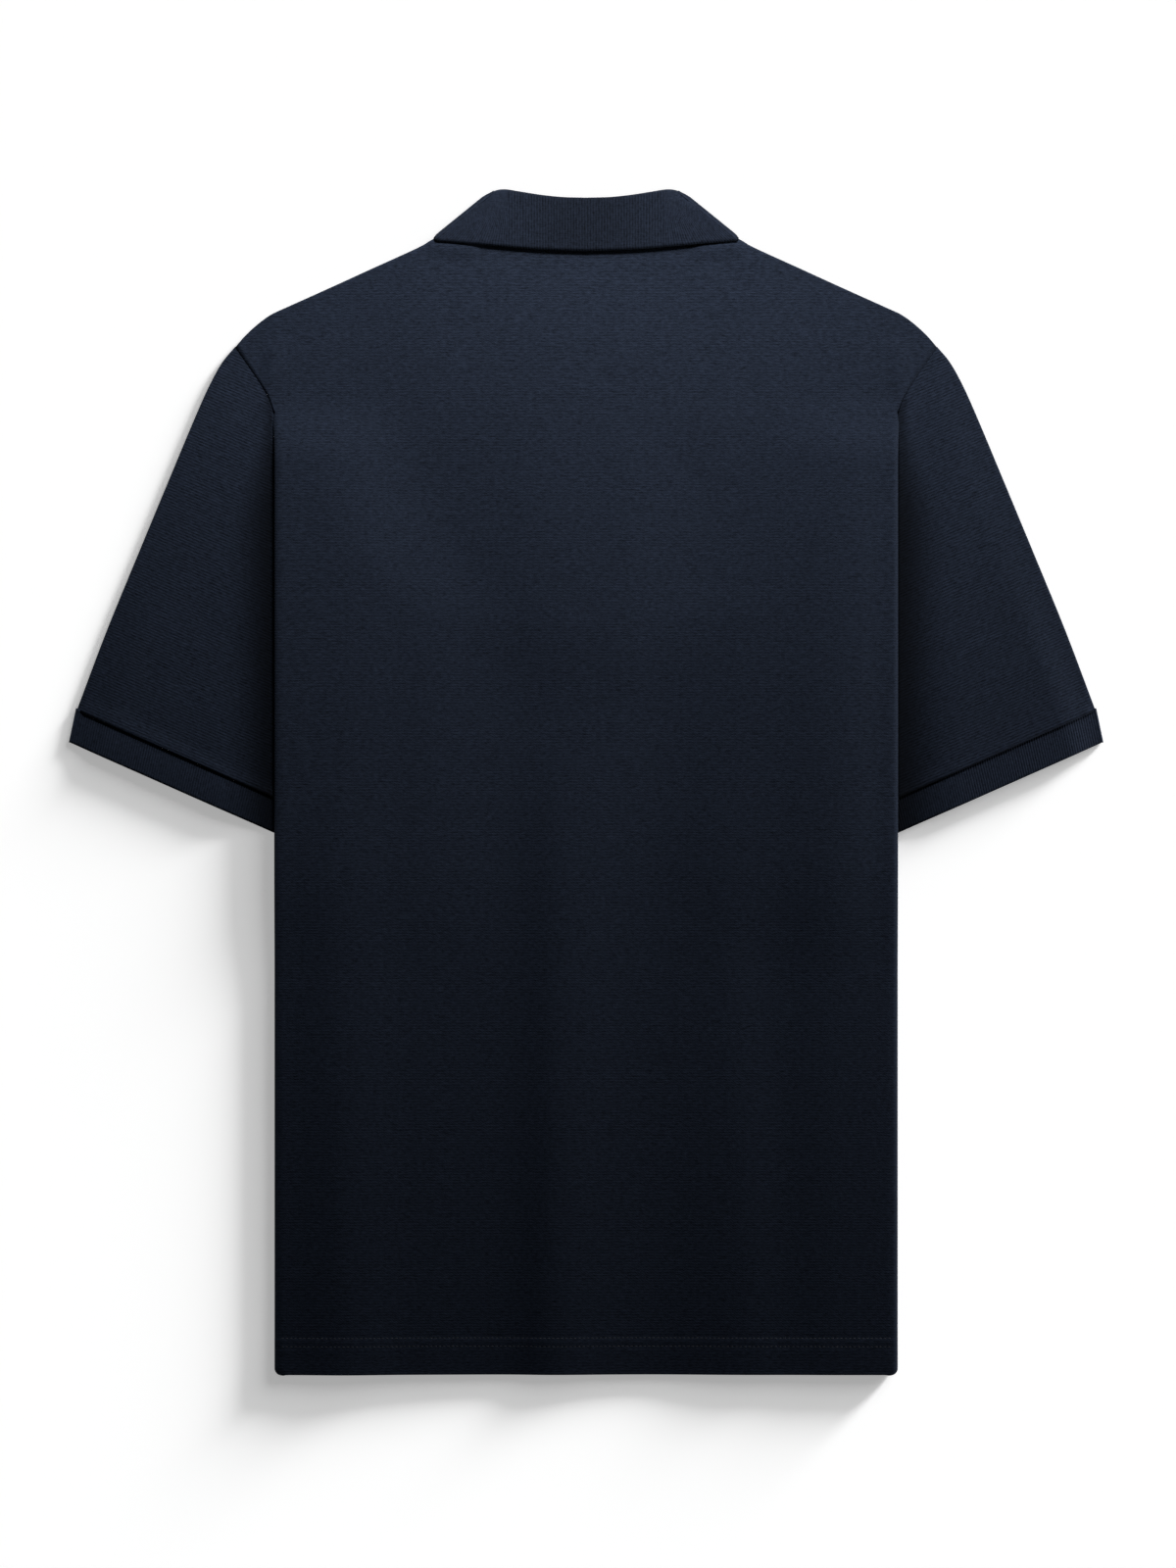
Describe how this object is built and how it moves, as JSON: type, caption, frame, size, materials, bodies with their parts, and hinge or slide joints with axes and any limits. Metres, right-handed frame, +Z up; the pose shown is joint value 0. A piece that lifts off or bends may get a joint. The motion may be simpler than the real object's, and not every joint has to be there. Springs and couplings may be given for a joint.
{
  "type": "polo shirt",
  "caption": "Dark navy short-sleeved polo shirt in pique knit with ribbed collar and cuffs, laid flat face down with its back up and its sides turned under.",
  "frame": {"origin": "middle of the bounding box's underside, on the surface the shirt lies on", "axes": "+X towards the wearer's right, +Y from hem to collar, +Z up, out of the shirt's back"},
  "size_m": [0.6644, 0.7616, 0.0075],
  "materials": {
    "body_pique": "matt cotton pique knit",
    "sleeve_pique": "matt cotton pique knit",
    "cuff_rib": "matt rib knit",
    "collar_rib": "matt rib knit",
    "placket_pique": "matt cotton pique knit",
    "button_plastic": "smooth, dark"
  },
  "bodies": {
    "root": {"back_panel": "body_pique", "front_panel": "body_pique", "sleeve_left": "sleeve_pique", "sleeve_right": "sleeve_pique", "cuff_left": "cuff_rib", "cuff_right": "cuff_rib", "collar": "collar_rib", "placket_over": "placket_pique", "placket_under": "placket_pique", "button_top": "button_plastic", "button_low": "button_plastic"}
  },
  "joints": []
}
